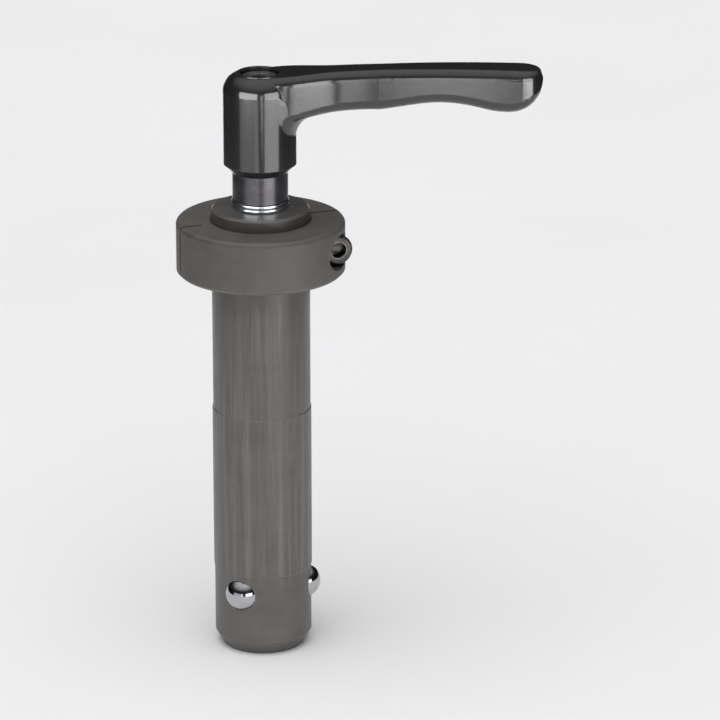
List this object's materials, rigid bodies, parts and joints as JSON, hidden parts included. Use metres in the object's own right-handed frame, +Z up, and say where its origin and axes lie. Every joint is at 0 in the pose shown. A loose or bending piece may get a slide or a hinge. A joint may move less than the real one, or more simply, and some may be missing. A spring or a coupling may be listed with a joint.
{
  "type": "welding table clamping bolt",
  "caption": "Quick-locking bolt for perforated welding tables: lever, split clamping collar, hollow shank and wedge-driven locking balls.",
  "frame": {"origin": "on the bolt's axis in the plane of the collar's underside", "axes": "+Z up along the bolt's axis towards the lever, +X along the lever, +Y completing a right-handed frame"},
  "size_m": [0.1017, 0.0472, 0.1703],
  "materials": {
    "nitrided_steel": "matte warm grey nitrided steel",
    "black_coat": "satin black powder coat on a die casting",
    "burnished_steel": "dark burnished turned steel",
    "zinc_steel": "bright zinc-plated steel",
    "screw_steel": "nickel-grey socket head screw",
    "oxide_steel": "black oxide steel",
    "ball_steel": "polished hardened bearing steel",
    "spring_steel": "drawn spring wire"
  },
  "bodies": {
    "bolt": {"shank": "nitrided_steel", "guide_pin": "ball_steel", "lower_shim": "zinc_steel", "upper_shim": "zinc_steel", "end_plug": "oxide_steel", "retaining_ring": "oxide_steel", "return_spring": "spring_steel"},
    "collar": {"clamp_collar": "nitrided_steel", "collar_screw": "screw_steel"},
    "nut": {"threaded_insert": "burnished_steel", "retaining_screw": "oxide_steel", "lever_spring": "spring_steel"},
    "lever": {"handle": "black_coat"},
    "rod": {"tie_rod": "oxide_steel"},
    "ball_1": {"lock_ball_1": "ball_steel"},
    "ball_2": {"lock_ball_2": "ball_steel"},
    "ball_3": {"lock_ball_3": "ball_steel"}
  },
  "joints": [
    {"name": "collar_slide", "type": "slide", "parent": "bolt", "child": "collar", "axis": [0, 0, 1], "range_m": [-0.04, 0.0035]},
    {"name": "lever_turn", "type": "hinge", "parent": "bolt", "child": "nut", "pos_m": [0, 0, 0.0209], "axis": [0, 0, 1], "range_deg": [0, 720]},
    {"name": "handle_lift", "type": "slide", "parent": "nut", "child": "lever", "axis": [0, 0, 1], "range_m": [0, 0.0042], "stiffness_N_per_m": 1500, "springref_m": -0.004, "deforming": ["lever_spring"]},
    {"name": "rod_slide", "type": "slide", "parent": "bolt", "child": "rod", "axis": [0, 0, 1], "range_m": [-0.003, 0], "deforming": ["return_spring"]},
    {"name": "ball_slide_1", "type": "slide", "parent": "bolt", "child": "ball_1", "axis": [1, 0, 0], "range_m": [-0.00252, 0]},
    {"name": "ball_slide_2", "type": "slide", "parent": "bolt", "child": "ball_2", "axis": [-0.5, 0.866, 0], "range_m": [-0.00252, 0]},
    {"name": "ball_slide_3", "type": "slide", "parent": "bolt", "child": "ball_3", "axis": [-0.5, -0.866, 0], "range_m": [-0.00252, 0]}
  ],
  "couplings": [
    {"joint": "rod_slide", "follows": "lever_turn", "m_per_rad": -0.00023873},
    {"joint": "ball_slide_1", "follows": "lever_turn", "m_per_rad": -0.00020032},
    {"joint": "ball_slide_2", "follows": "lever_turn", "m_per_rad": -0.00020032},
    {"joint": "ball_slide_3", "follows": "lever_turn", "m_per_rad": -0.00020032}
  ]
}
